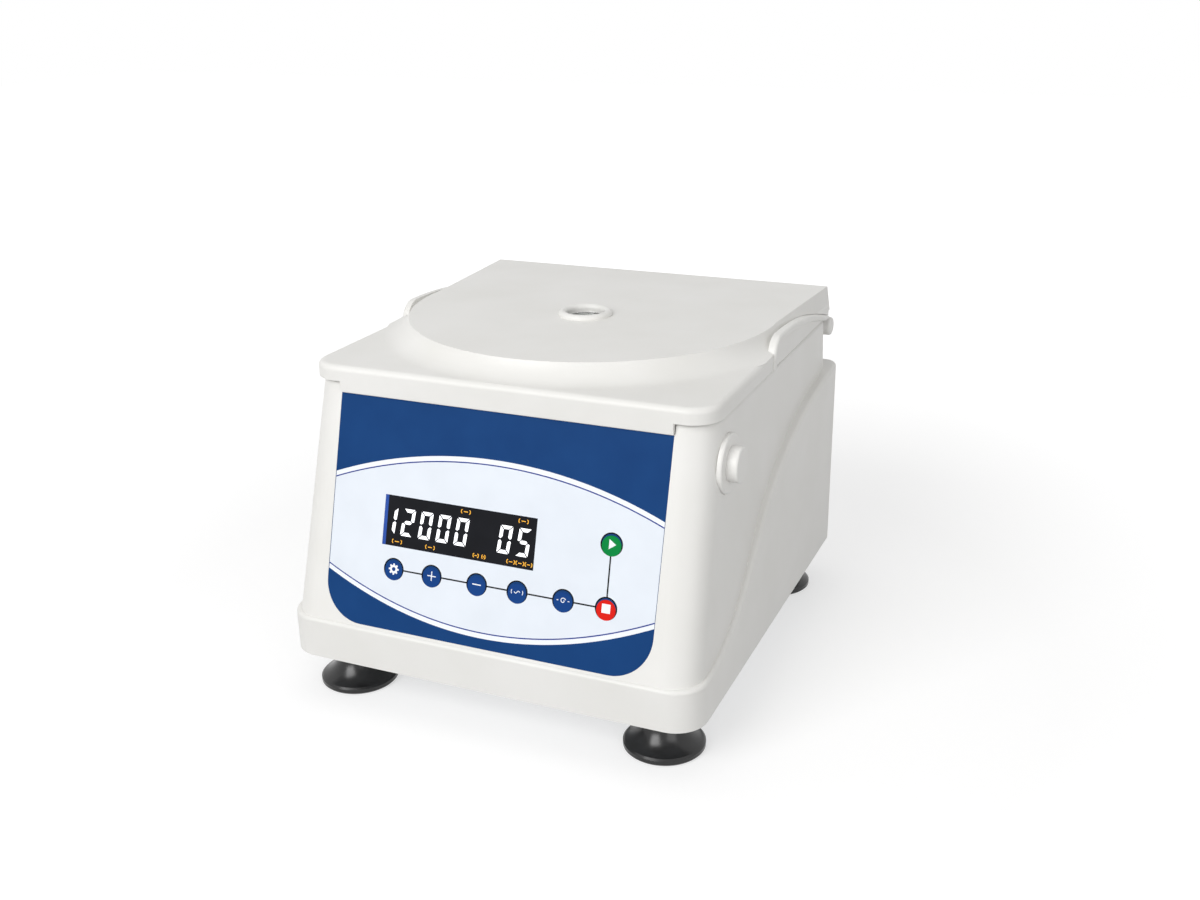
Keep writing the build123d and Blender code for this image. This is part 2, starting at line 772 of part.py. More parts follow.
def make_liner():
    inset = wall + 0.4
    outline = plan(lid_w / 2 - inset, lid_front_y + inset, lid_rear_y - inset, 16, 2, liner_z)
    liner = extrude(outline, liner_t)
    liner -= cylinder(0, axis_y, liner_z - 1, liner_top + 1, port_hole_r - 3)
    for x, y in liner_screw_places:
        liner -= cylinder(x, y, liner_z - 1, liner_top + 1, screw_r)
    liner -= arch_gap_cut
    return liner - mirror(arch_gap_cut, about=Plane.YZ)


def make_liner_screw(x, y):
    head = cylinder(x, y, liner_z - 1.6, liner_z, 2.8)
    return head + cylinder(x, y, liner_z - 1, liner_top + 4.5, 1.25)


glass_low = lid_top - glass_drop - glass_t


def make_sight_ring():
    # a tube with a ledge under the glass, and a rounded collar on the lid
    tube_r = port_hole_r - 0.1
    ledge_r = port_bore_r - port_ledge
    collar_w = port_ring_r - port_bore_r
    crown = (port_bore_r + collar_w / 2, lid_top + port_ring_h)
    collar = ThreePointArc((port_ring_r, lid_top), crown, (port_bore_r, lid_top))
    tube = Polyline(
        (port_bore_r, lid_top), (port_bore_r, glass_low), (ledge_r, glass_low), (ledge_r, liner_top),
        (tube_r, liner_top), (tube_r, lid_top), (port_ring_r, lid_top),
    )
    return axis_at * revolve(Plane.XZ * make_face(collar + tube), Axis.Z)


arch = make_arch()
save(make_lid_shell(), "lid_shell")
save(make_liner(), "lid_liner")
save(ring(0, axis_y, lid_z + fit, liner_z, bowl_r + 2.5, bowl_flange_r - 1), "lid_gasket")
save(make_sight_ring(), "sight_ring")
save(cylinder(0, axis_y, glass_low, glass_low + glass_t, port_bore_r - 0.05), "sight_window")
save(arch, "side_arch_right")
save(mirror(arch, about=Plane.YZ), "side_arch_left")
save(Compound(children=[make_liner_screw(x, y) for x, y in liner_screw_places]), "liner_screws")


# Lid hinges

def make_hinge_base():
    low, high = fixed_knuckle
    foot_low = hinge_z - fixed_foot_h
    foot = block((low, low + fixed_foot_w), (body_rear_y, hinge_y), (foot_low, hinge_z))
    barrel = along_x(hinge_y, hinge_z, low, high, knuckle_r)
    barrel = fillet(barrel.faces().sort_by(Axis.X)[-1].edges(), 2)
    foot -= block(
        (low - 1, high + 1), (body_rear_y + fixed_foot_t, hinge_y + 1),
        (foot_low - 1, hinge_z - knuckle_r - 5),
    )
    base = foot + barrel
    return base - along_x(hinge_y, hinge_z, low - 1, high - 3, pin_r + pin_gap)


def make_hinge_leaf():
    low, high = moving_knuckle
    barrel = along_x(hinge_y, hinge_z, low, high, knuckle_r - 0.4)
    arm = block((low, high), (hinge_y - knuckle_r + 0.9, lid_rear_y - 0.4), (hinge_z, liner_z))
    leaf = block((low, high), (lid_rear_y - leaf_reach, lid_rear_y - 0.4), (lid_z + fit, liner_z))
    return barrel + arm + leaf - along_x(hinge_y, hinge_z, low - 1, high + 1, pin_r + pin_gap)


for name, piece in (("hinge_base", make_hinge_base()), ("lid_hinge", make_hinge_leaf())):
    save(piece, name + "_right")
    save(mirror(piece, about=Plane.YZ), name + "_left")
pin = along_x(hinge_y, hinge_z, moving_knuckle[0] - 1, fixed_knuckle[1] - 3.2, pin_r)
save(Compound(children=[pin, mirror(pin, about=Plane.YZ)]), "hinge_pins")


# Release button, its bezel and spring, the catch and the striker

guide_x = button_x - 17  # inner end of the bezel's tube
plunger_back = guide_x + 2.5 + button_travel + 3
leaf_out = striker_x - 0.6
leaf_t = 0.8
nose_out = striker_out + 1
window_half = 5.0
bracket_t = 2.0
bracket_low = button_z - 38
stem_r = 2.5


def make_bezel():
    tube_r = cap_r + 2.2
    bezel = along_x(button_y, button_z, flange_back, flange_back + flange_t, flange_r)
    bezel = fillet(bezel.faces().sort_by(Axis.X)[-1].edges(), 1.5)
    bezel += along_x(button_y, button_z, guide_x, flange_back + 0.5, tube_r)
    bezel -= along_x(button_y, button_z, guide_x + 2.5, base_w, cap_r + 0.1)
    return bezel - along_x(button_y, button_z, guide_x - 1, base_w, stem_r + 0.1)


def make_button():
    front = flange_back + flange_t + cap_out
    cap = along_x(button_y, button_z, plunger_back, front, cap_r)
    cap = fillet(cap.faces().sort_by(Axis.X)[-1].edges(), 1.5)
    return cap + along_x(button_y, button_z, nose_out + fit, plunger_back + 1, stem_r)


def make_spring():
    coil_r, wire_r = 6.0, 0.5
    turns = 3
    low, high = guide_x + 2.5 + wire_r + fit, plunger_back - wire_r - fit
    path = Helix(pitch=(high - low) / turns, height=high - low, radius=coil_r)
    wire = sweep(Plane(origin=path @ 0, z_dir=path % 0) * Circle(wire_r), path=path)
    return Pos(low, button_y, button_z) * Rot(0, 90, 0) * wire


def make_catch_spring():
    leaf = block((leaf_out - leaf_t, leaf_out), (button_y - 6, button_y + 6), (bracket_low + 2, button_z + 8))
    nose = block((leaf_out - 0.2, nose_out), (button_y - 4, button_y + 4), (button_z - 3.5, button_z + 3.5))
    return leaf + nose


def make_catch_bracket():
    out = leaf_out - leaf_t
    leg_y = (button_y - 20, button_y - 10)
    leg = block((out - bracket_t, out), leg_y, (bracket_low, deck_low))
    foot = block((out - bracket_t, out), (button_y - 20, button_y + 8), (bracket_low, bracket_low + 13))
    return leg + foot + block((out - 16, out), leg_y, (deck_low - bracket_t, deck_low))


def make_striker():
    y = (button_y - striker_w / 2, button_y + striker_w / 2)
    tongue = block((striker_x, striker_out), y, (button_z - 10, liner_z))
    tongue += block((striker_x - 13, striker_out), y, (liner_z - 1.5, liner_z))
    return tongue - block(
        (striker_x - 1, striker_out + 1), (button_y - window_half - 1, button_y + window_half + 1),
        (button_z - window_half, button_z + window_half),
    )


def make_interlock():
    high = leaf_out - leaf_t - bracket_t
    return block((high - 6.5, high), (button_y - 20, button_y - 10), (deck_low - 26, deck_low - 6)) + block(
        (high - 6.5, high - 2), (button_y - 10.5, button_y - 3), (deck_low - 10, deck_low - 9.4)
    )


save(make_bezel(), "button_bezel")
save(make_button(), "release_button")
save(make_spring(), "button_spring")
save(make_catch_spring(), "catch_spring")
save(make_catch_bracket(), "catch_bracket")
save(make_striker(), "lid_striker")
save(make_interlock(), "interlock_switch")


# Rear: power inlet, power switch and power board

def centred(x, w, y, z, h):
    return block((x - w / 2, x + w / 2), y, (z - h / 2, z + h / 2))


def make_inlet():
    back = rear_y - 25
    inlet = centred(inlet_x, inlet_w, (back, rear_y), rear_z, inlet_h)
    inlet += centred(inlet_x, inlet_w + 20, (rear_y - wall - 2.5, rear_y - wall), rear_z, inlet_h + 3)
    mouth = (rear_y - inlet_depth, rear_y + 1)
    inlet -= centred(inlet_x, inlet_w - 2 * inlet_wall, mouth, rear_z, inlet_h - 2 * inlet_lip)
    for dx, dz in blade_places:
        inlet += centred(inlet_x + dx, blade_t, (back - 8, rear_y - blade_back), rear_z + dz, blade_h)
    return inlet


rocker_r = 9.0
rocker_y = rear_y - 6.0
rocker_w = 11.0
rocker_out = 5.0  # pivot line to the ends of the face
rocker_dip = 1.4  # how far the face falls in at its middle
rocker_back = 3.0
rocker_taper = 2.0
pivot_r = 1.5
pivot_out = 1.2  # each pivot's reach past the rocker's side
switch_depth = 22.0
switch_wall = 2.0
switch_lip = 1.2
switch_clip = 3.0  # the clip's reach past the body, behind the wall
rocker_room = 9.0  # pivot line to the bottom of the well


def make_switch_body():
    clip_w, clip_h = switch_w + 2 * switch_clip, switch_h + 2 * switch_clip
    body = centred(switch_x, switch_w, (rear_y - switch_depth, rear_y), rear_z, switch_h)
    body += centred(switch_x, clip_w, (rear_y - wall - 2, rear_y - wall), rear_z, clip_h)
    well = (rocker_y - rocker_room, rear_y + 1)
    body -= centred(switch_x, switch_w - 2 * switch_wall, well, rear_z, switch_h - 2 * switch_lip)
    socket = rocker_w / 2 + pivot_out + 0.1
    return body - along_x(rocker_y, rear_z, switch_x - socket, switch_x + socket, pivot_r + 0.05)


def make_rocker():
    half, face_y, back_y = rocker_r, rocker_y + rocker_out, rocker_y - rocker_back
    section = Polyline(
        (back_y, rear_z - half + rocker_taper), (face_y, rear_z - half), (face_y - rocker_dip, rear_z),
        (face_y, rear_z + half), (back_y, rear_z + half - rocker_taper), close=True,
    )
    rocker = Pos(switch_x - rocker_w / 2, 0, 0) * extrude(Plane.YZ * make_face(section), rocker_w)
    reach = rocker_w / 2 + pivot_out
    return rocker + along_x(rocker_y, rear_z, switch_x - reach, switch_x + reach, pivot_r)


power_x = (-131.0, -84.0)
power_y = (98.0, rear_y - wall - 4)
power_low = floor_z + 14.0
post_in = 5.0  # a post's place from the board's corner
capacitors = ((14.0, 16.0, 8.0, 26.0), (34.0, 14.0, 6.0, 20.0))  # place from the corner, radius, height
heat_sink = ((27.0, 31.0), (4.0, 40.0), 22.0)  # across, along and height


def make_power_board():
    x, y, low = power_x[0], power_y[0], power_low
    board = block(power_x, power_y, (low, low + board_t))
    for post_x in (power_x[0] + post_in, power_x[1] - post_in):
        for post_y in (power_y[0] + post_in, power_y[1] - post_in):
            board += cylinder(post_x, post_y, floor_z, low + 0.5, stud_r)
    for dx, dy, radius, height in capacitors:
        board += cylinder(x + dx, y + dy, low, low + height, radius)
    across, along, height = heat_sink
    return board + block((x + across[0], x + across[1]), (y + along[0], y + along[1]), (low, low + height))


save(make_inlet(), "power_inlet")
save(make_switch_body(), "power_switch_body")
save(make_rocker(), "power_rocker")
save(make_power_board(), "power_board")

print("front leans back", round(math.degrees(lean), 2), "degrees; overall height", lid_top + port_ring_h)
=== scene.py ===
import json
import math

import bmesh
import bpy
import numpy as np
from mathutils import Matrix, Vector


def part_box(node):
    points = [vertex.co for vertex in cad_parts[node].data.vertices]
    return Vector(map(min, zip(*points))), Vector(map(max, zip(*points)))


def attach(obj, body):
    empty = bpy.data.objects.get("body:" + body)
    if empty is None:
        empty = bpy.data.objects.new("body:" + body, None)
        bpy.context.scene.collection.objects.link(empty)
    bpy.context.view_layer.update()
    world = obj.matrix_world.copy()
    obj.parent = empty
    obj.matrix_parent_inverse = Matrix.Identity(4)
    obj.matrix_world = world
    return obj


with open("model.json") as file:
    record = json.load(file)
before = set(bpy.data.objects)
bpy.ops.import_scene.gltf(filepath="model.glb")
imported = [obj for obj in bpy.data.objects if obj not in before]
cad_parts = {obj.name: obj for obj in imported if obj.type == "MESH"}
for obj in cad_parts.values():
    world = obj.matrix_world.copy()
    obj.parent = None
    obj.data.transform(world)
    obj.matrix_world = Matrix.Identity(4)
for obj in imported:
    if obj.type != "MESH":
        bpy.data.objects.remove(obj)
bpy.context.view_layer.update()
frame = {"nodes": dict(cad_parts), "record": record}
print("frame loaded:", len(frame["nodes"]), "nodes")

mm = 0.001
rotorAxis = (0.0, 0.016, 0.0)  # the bowl, the rotor and the sight port turn round this upright line


# Camera, at the photograph's viewing angle

camera = {
    "place": (0.37692, -0.82555, 0.48407),
    "right": (0.918526, 0.395113, -0.013882),
    "up": (-0.127406, 0.329058, 0.935672),
    "back": (0.374265, -0.857673, 0.352590),
    "lens": 39.88,
    "sensor": 36.0,
}


def placeCamera():
    data = bpy.data.cameras.new("camera")
    data.lens = camera["lens"]
    data.sensor_width = camera["sensor"]
    data.sensor_fit = "HORIZONTAL"
    data.clip_start = 0.01
    data.clip_end = 50
    item = bpy.data.objects.new("camera", data)
    turn = Matrix([camera["right"], camera["up"], camera["back"]]).transposed()
    item.matrix_world = Matrix.Translation(camera["place"]) @ turn.to_4x4()
    bpy.context.scene.collection.objects.link(item)
    bpy.context.scene.camera = item


placeCamera()
print("camera placed")


# Tools for materials

def hexToLinear(text):
    # sRGB to linear light: a straight part near black, then a power of 2.4
    values = np.array([int(text[i:i + 2], 16) for i in (1, 3, 5)]) / 255
    linear = np.where(values <= 0.04045, values / 12.92, ((values + 0.055) / 1.055) ** 2.4)
    return (*linear.tolist(), 1.0)


def addNode(tree, kind, settings=None, **inputs):
    # settings are the node's own options; inputs are values, or sockets to link from
    node = tree.nodes.new("ShaderNode" + kind)
    for key, value in (settings or {}).items():
        setattr(node, key, value)
    for key, value in inputs.items():
        socket = node.inputs[int(key[1:])] if key[1:].isdigit() else node.inputs[key.replace("_", " ")]
        if isinstance(value, bpy.types.NodeSocket):
            tree.links.new(value, socket)
        else:
            socket.default_value = value
    return node


def startMaterial(name, **shader):
    material = bpy.data.materials.new(name)
    material.use_nodes = True
    tree = material.node_tree
    surface = tree.nodes["Principled BSDF"]
    for key, value in shader.items():
        surface.inputs[key.replace("_", " ")].default_value = value
    return material, tree, surface


def perMetre(sizeMm):
    # a noise texture's scale, for features of that size
    return 1 / (sizeMm * mm)


def noise(tree, sizeMm, detail=2.0, stretch=None):
    place = addNode(tree, "TexCoord").outputs["Object"]
    if stretch:
        place = addNode(tree, "Mapping", Vector=place, Scale=stretch).outputs["Vector"]
    return addNode(tree, "TexNoise", Vector=place, Scale=perMetre(sizeMm), Detail=detail).outputs["Fac"]


def turnedMarks(tree, pitchMm, distortion=0.4):
    # rings about the rotor's axis, as a lathe or a spinning tool leaves them
    place = addNode(tree, "TexCoord").outputs["Object"]
    centred = addNode(tree, "Mapping", Vector=place, Location=[-v for v in rotorAxis]).outputs["Vector"]
    wave = addNode(
        tree, "TexWave", {"wave_type": "RINGS", "rings_direction": "Z"}, Vector=centred,
        Scale=perMetre(pitchMm) * math.pi / 10, Distortion=distortion, Detail=2.0,
    )
    return wave.outputs["Fac"]


def tint(tree, fac, low, high, lowAt=0.3, highAt=0.7):
    ramp = addNode(tree, "ValToRGB", Fac=fac)
    ramp.color_ramp.elements[0].position = lowAt
    ramp.color_ramp.elements[1].position = highAt
    ramp.color_ramp.elements[0].color = hexToLinear(low)
    ramp.color_ramp.elements[1].color = hexToLinear(high)
    return ramp.outputs["Color"]


def spread(tree, fac, low, high):
    return addNode(tree, "MapRange", Value=fac, To_Min=low, To_Max=high).outputs["Result"]


def bump(tree, height, strength, depthMm):
    return addNode(tree, "Bump", Height=height, Strength=strength, Distance=depthMm * mm).outputs["Normal"]


def dress(tree, surface, colour=None, roughness=None, normal=None):
    for key, value in (("Base Color", colour), ("Roughness", roughness), ("Normal", normal)):
        if value is not None:
            tree.links.new(value, surface.inputs[key])


# Materials, each named for the real finish

def mouldedAbs():
    # injection-moulded ABS with a fine spark finish: satin, warm off-white, with a faint drift of tone
    material, tree, surface = startMaterial("satinMouldedAbs", IOR=1.53)
    drift = noise(tree, 60, 3)
    grain = noise(tree, 0.7, 4)  # drawn coarser than the real 0.2 mm, so that it shows
    dress(
        tree, surface, tint(tree, drift, "#E5E4E0", "#EAE9E6"), spread(tree, grain, 0.38, 0.52),
        bump(tree, grain, 0.12, 0.06),
    )
    return material


def linerSheet():
    # vacuum-formed styrene sheet: duller than the case, with a soft orange-peel
    material, tree, surface = startMaterial("formedStyreneSheet", IOR=1.57)
    peel = noise(tree, 4, 2)
    dress(
        tree, surface, tint(tree, noise(tree, 40), "#DAD8D2", "#E2E0DA"), spread(tree, peel, 0.45, 0.6),
        bump(tree, peel, 0.15, 0.2),
    )
    return material


def zincSheet():
    # passivated zinc on pressed steel: grey metal with a cloudy, faintly spangled skin
    material, tree, surface = startMaterial("passivatedZincSheet", Metallic=1.0)
    cloud = noise(tree, 9, 5)
    dress(tree, surface, tint(tree, cloud, "#A9ADB1", "#C3C5C6"), spread(tree, cloud, 0.3, 0.52))
    return material


def zincScrew():
    # bright zinc on cold-headed screws: smoother than the sheet, with small marks from the barrel
    material, tree, surface = startMaterial("brightZincScrew", Metallic=1.0)
    marks = noise(tree, 1.2, 3)
    dress(
        tree, surface, tint(tree, marks, "#B9BBB8", "#D2D3CF"), spread(tree, marks, 0.2, 0.36),
        bump(tree, marks, 0.1, 0.05),
    )
    return material


def blackRubber():
    # compression-moulded rubber from a polished mould: black and glossy, with a faint bloom
    material, tree, surface = startMaterial("polishedMouldRubber", IOR=1.52)
    bloom = noise(tree, 7, 4)
    dress(
        tree, surface, tint(tree, bloom, "#131313", "#1C1C1D"), spread(tree, bloom, 0.16, 0.32),
        bump(tree, noise(tree, 2.5, 2), 0.06, 0.08),
    )
    return material


def printedFilm(name, low, high):
    # reverse-printed polyester film: an even ink under a fine velvet texture, which takes most of its shine
    material, tree, surface = startMaterial(name, IOR=1.6, Specular_IOR_Level=0.05)
    velvet = noise(tree, 0.5, 3)  # coarser than the real 0.1 mm
    dress(
        tree, surface, tint(tree, noise(tree, 25), low, high), spread(tree, velvet, 0.38, 0.5),
        bump(tree, velvet, 0.05, 0.02),
    )
    return material


def smokedWindow():
    # smoked acrylic over the display: nearly black, smooth, with faint wiping marks
    material, tree, surface = startMaterial("smokedAcrylic", IOR=1.49, Specular_IOR_Level=0.08)
    wipes = noise(tree, 6, 3, (1, 1, 6))
    dress(tree, surface, tint(tree, noise(tree, 18), "#191A1E", "#1E1F24"), spread(tree, wipes, 0.12, 0.22))
    return material


def litSegment(name, low, high, strength):
    # light-emitting segments behind the window: a glow that the diffuser leaves very slightly uneven
    material, tree, surface = startMaterial(name, Roughness=0.4, Emission_Strength=strength)
    glow = tint(tree, noise(tree, 1.5), low, high)
    dress(tree, surface, glow)
    tree.links.new(glow, surface.inputs["Emission Color"])
    return material


def blackNylon():
    # glass-filled nylon: charcoal with a dry, slightly mottled skin
    material, tree, surface = startMaterial("filledBlackNylon", IOR=1.53)
    skin = noise(tree, 0.9, 4)
    dress(
        tree, surface, tint(tree, skin, "#17181A", "#222326"), spread(tree, skin, 0.45, 0.62),
        bump(tree, skin, 0.2, 0.06),
    )
    return material


def solderMask():
    # green solder mask on fibreglass: the weave shows through faintly
    material, tree, surface = startMaterial("solderMaskBoard", IOR=1.55)
    place = addNode(tree, "TexCoord").outputs["Object"]
    weave = addNode(tree, "TexChecker", Vector=place, Scale=perMetre(1.4)).outputs["Fac"]
    dress(
        tree, surface, tint(tree, noise(tree, 3, 4), "#1E6B3A", "#278047"), spread(tree, weave, 0.28, 0.36),
        bump(tree, weave, 0.1, 0.03),
    )
    return material


def spunStainless():
    # spun stainless steel: rings left by the forming roller, drawn at 1.2 mm so that they show
    material, tree, surface = startMaterial("spunStainless", Metallic=1.0)
    rings = turnedMarks(tree, 1.2)
    dress(
        tree, surface, tint(tree, noise(tree, 30, 3), "#BFC0C0", "#CFCFCE"), spread(tree, rings, 0.2, 0.34),
        bump(tree, rings, 0.08, 0.05),
    )
    return material


def darkEnamel():
    # stoved dark enamel on steel, with orange-peel
    material, tree, surface = startMaterial("stovedDarkEnamel", IOR=1.5)
    peel = noise(tree, 2.2, 2)
    dress(
        tree, surface, tint(tree, noise(tree, 20), "#2D2F32", "#36383B"), spread(tree, peel, 0.3, 0.42),
        bump(tree, peel, 0.2, 0.1),
    )
    return material


def castAluminium():
    # die-cast aluminium, shot-blasted: pale and pitted
    material, tree, surface = startMaterial("blastedCastAluminium", Metallic=1.0)
    pits = noise(tree, 0.8, 5)
    dress(
        tree, surface, tint(tree, noise(tree, 15, 3), "#B5B7B9", "#C6C8C9"), spread(tree, pits, 0.42, 0.6),
        bump(tree, pits, 0.3, 0.1),
    )
    return material


def turnedSteel():
    # ground and turned steel with a thin film of oil
    material, tree, surface = startMaterial("turnedSteel", Metallic=1.0)
    marks = turnedMarks(tree, 0.9, 0.8)
    dress(
        tree, surface, tint(tree, noise(tree, 8, 3), "#A5A7A9", "#BCBDBE"), spread(tree, marks, 0.24, 0.38),
        bump(tree, marks, 0.06, 0.03),
    )
    return material


def polishedSteel():
    # buffed steel nut: mirror-like, with hairlines from handling
    material, tree, surface = startMaterial("buffedSteel", Metallic=1.0)
    hairs = noise(tree, 1.0, 4, (1, 1, 0.15))
    dress(tree, surface, tint(tree, hairs, "#CBCCCC", "#DADAD9"), spread(tree, hairs, 0.08, 0.2))
    return material


def sageMoulding():
    # moulded polypropylene, sage green: waxy, with cloudy flow marks
    material, tree, surface = startMaterial("sagePolypropylene", IOR=1.49, Subsurface_Weight=0.05)
    flow = noise(tree, 12, 4)
    grain = noise(tree, 0.6, 3)
    dress(
        tree, surface, tint(tree, flow, "#A3AC82", "#B4BC95"), spread(tree, grain, 0.36, 0.5),
        bump(tree, grain, 0.12, 0.05),
    )
    return material


def clearAcrylic():
    # cast acrylic, faintly cool, with fine scratches from wiping
    material, tree, surface = startMaterial("castAcrylic", IOR=1.49, Transmission_Weight=1.0)
    scratches = noise(tree, 1.5, 4, (8, 1, 1))
    cast = tint(tree, noise(tree, 20), "#EEF3F2", "#F6F9F8")
    dress(tree, surface, cast, spread(tree, scratches, 0.02, 0.08))
    return material


finishes = {
    "housing": mouldedAbs(),
    "liner": linerSheet(),
    "zinc_sheet": zincSheet(),
    "zinc_screws": zincScrew(),
    "rubber": blackRubber(),
    "panel_film": printedFilm("bluePrintedFilm", "#143E74", "#174279"),
    "display_window": smokedWindow(),
    "black_plastic": blackNylon(),
    "blue_key": printedFilm("blueKeyFilm", "#153F80", "#194486"),
    "red_key": printedFilm("redKeyFilm", "#D91D15", "#E0241B"),
    "green_key": printedFilm("greenKeyFilm", "#05823C", "#0B8B43"),
    "circuit_board": solderMask(),
    "stainless": spunStainless(),
    "painted_steel": darkEnamel(),
    "cast_aluminium": castAluminium(),
    "steel": turnedSteel(),
    "polished_steel": polishedSteel(),
    "rotor_plastic": sageMoulding(),
    "clear_window": clearAcrylic(),
}
inks = {
    "white": printedFilm("whiteInk", "#F0F4FA", "#F4F7FC"),
    "pale": printedFilm("paleBlueInk", "#E3E9F1", "#E7EDF5"),
    "line": printedFilm("fineLineInk", "#28398A", "#2E4092"),
    "black": printedFilm("blackInk", "#0E0F12", "#15161A"),
    "strip": printedFilm("blueEdgeInk", "#2E4E9E", "#3558AC"),
    "lit": litSegment("whiteSegments", "#F4F6FF", "#FFFFFF", 0.75),
    "amber": litSegment("amberSegments", "#E8A21C", "#F2B32B", 0.35),
}
for part in frame["record"]["subparts"]:
    mesh = frame["nodes"][part["node"]].data
    mesh.materials.clear()
    mesh.materials.append(finishes[part["material_slot"]])
print("materials made:", len(finishes) + len(inks))


# The leaning front: x across, v up the face, out along its normal, all in millimetres

front = {
    "foot": (0.0, -163.0, 61.0),  # where the leaning face meets the plinth
    "run": 45.0,  # how far it leans back
    "rise": 156.0,
}
slope = math.hypot(front["run"], front["rise"])
acrossFace = np.array([1.0, 0.0, 0.0])
upFace = np.array([0.0, front["run"], front["rise"]]) / slope
outFace = np.array([0.0, -front["rise"], front["run"]]) / slope


def onFace(flat, out):
    # flat points (x, v) and a height above the face, to metres in the object's frame
    flat = np.asarray(flat, float)
    place = np.array(front["foot"]) + flat[:, :1] * acrossFace + flat[:, 1:2] * upFace
    return (place + np.reshape(out, (-1, 1)) * outFace) * mm


def topOf(node):
    # how far out a CAD node reaches along the face's normal
    mesh = frame["nodes"][node].data
    points = np.zeros(len(mesh.vertices) * 3)
    mesh.vertices.foreach_get("co", points)
    return float(((points.reshape(-1, 3) / mm - np.array(front["foot"])) @ outFace).max())


def middleOf(node):
    # the node's middle on the face, as (x, v)
    low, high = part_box(node)
    middle = np.array((low + high) / 2) / mm - np.array(front["foot"])
    return float(middle @ acrossFace), float(middle @ upFace)


def closeSeams(mesh):
    # the rims of the two faces and of the thin wall between them are joined, and all faces turned outwards
    work = bmesh.new()
    work.from_mesh(mesh)
    bmesh.ops.remove_doubles(work, verts=work.verts, dist=0.001 * mm)
    bmesh.ops.recalc_face_normals(work, faces=work.faces)
    work.to_mesh(mesh)
    work.free()


def printShape(name, outlines, height, thick, inkName, body, place=onFace):
    # closed outlines, filled by the even-odd rule, raised by a print's thickness and laid on the surface
    curve = bpy.data.curves.new(name, "CURVE")
    curve.dimensions = "2D"
    curve.fill_mode = "BOTH"
    curve.extrude = thick / 2
    for outline in outlines:
        outline = np.asarray(outline, float)
        spline = curve.splines.new("POLY")
        spline.points.add(len(outline) - 1)
        spline.points.foreach_set("co", np.column_stack([outline, np.zeros((len(outline), 2))]).ravel())
        spline.use_cyclic_u = True
    holder = bpy.data.objects.new(name + "Outline", curve)
    bpy.context.scene.collection.objects.link(holder)
    bpy.context.view_layer.update()
    mesh = bpy.data.meshes.new_from_object(holder.evaluated_get(bpy.context.evaluated_depsgraph_get()))
    bpy.data.objects.remove(holder)
    points = np.zeros(len(mesh.vertices) * 3)
    mesh.vertices.foreach_get("co", points)
    points = points.reshape(-1, 3)
    placed = place(points[:, :2], height + thick / 2 + points[:, 2])
    mesh.vertices.foreach_set("co", placed.ravel())
    closeSeams(mesh)
    mesh.name = name
    mesh.materials.clear()
    mesh.materials.append(inks[inkName])
    mesh.update()
    piece = bpy.data.objects.new(name, mesh)
    bpy.context.scene.collection.objects.link(piece)
    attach(piece, body)


def circle(x, v, radius, count=72):
    turn = np.linspace(0, 2 * math.pi, count, endpoint=False)
    return np.column_stack([x + radius * np.cos(turn), v + radius * np.sin(turn)])


def rectangle(x, v, width, height):
    w, h = width / 2, height / 2
    return np.array([(x - w, v - h), (x + w, v - h), (x + w, v + h), (x - w, v + h)])


def ribbon(line, width):
    # a stroke of even width: the line moved half a width to each side along its normal
    line = np.asarray(line, float)
    along = np.gradient(line, axis=0)
    along /= np.linalg.norm(along, axis=1, keepdims=True)
    side = np.column_stack([-along[:, 1], along[:, 0]]) * width / 2
    return np.vstack([line + side, (line - side)[::-1]])


bodyOf = {node: body for body, nodes in frame["record"]["behaviour"]["bodies"].items() for node in nodes}
filmTop = topOf("front_panel")
caseBody = bodyOf["front_panel"]
inkThick = 0.02  # one print, in millimetres
keyNodes = [part["node"] for part in frame["record"]["subparts"] if part["node"].startswith("key_")]
keyAt = {node: middleOf(node) for node in keyNodes}
keyLow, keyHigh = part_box(keyNodes[0])
keyRadius = (keyHigh.x - keyLow.x) / 2 / mm


# The pale lens between two arcs, with its thin lines

lens = {
    "half": 117.6,
    "topPeak": 124.5,
    "topRadius": 318.0,
    "lowPeak": 8.4,
    "lowRadius": 252.0,
    "lineIn": 3.6,  # edge to thin line
    "lineWidth": 0.8,
    "room": 0.2,  # round a key
    "steps": 121,
}


def lensEdge(inset):
    # the top is an arc of a circle and the bottom a parabola, both moved in by inset
    x = np.linspace(-lens["half"], lens["half"], lens["steps"])
    top = lens["topPeak"] - inset - lens["topRadius"] + np.sqrt(lens["topRadius"] ** 2 - x ** 2)
    low = lens["lowPeak"] + inset + x ** 2 / (2 * lens["lowRadius"])
    return x, top, low


def lensOutline(inset):
    x, top, low = lensEdge(inset)
    return np.vstack([np.column_stack([x, low]), np.column_stack([x, top])[::-1]])


display = {"size": (111.0, 33.3), "room": 0.3, "edge": 2.4}
displayAt = middleOf("display_window")
holes = [circle(*at, keyRadius + lens["room"]) for at in keyAt.values()]
holes.append(rectangle(*displayAt, *(side + display["room"] for side in display["size"])))
printShape("lensBorder", [lensOutline(0)] + holes, filmTop, inkThick, "white", caseBody)
field = [lensOutline(lens["lineIn"])] + holes
printShape("lensField", field, filmTop + inkThick, inkThick, "pale", caseBody)
thirdPrint = filmTop + 2 * inkThick  # over the border and the field
lineX, lineTop, lineLow = lensEdge(lens["lineIn"])
for name, height in (("lensLineTop", lineTop), ("lensLineLow", lineLow)):
    stroke = ribbon(np.column_stack([lineX, height]), lens["lineWidth"])
    printShape(name, [stroke], thirdPrint, inkThick, "line", caseBody)
print("lens printed")


# Rings round the keys, and the lines that join them

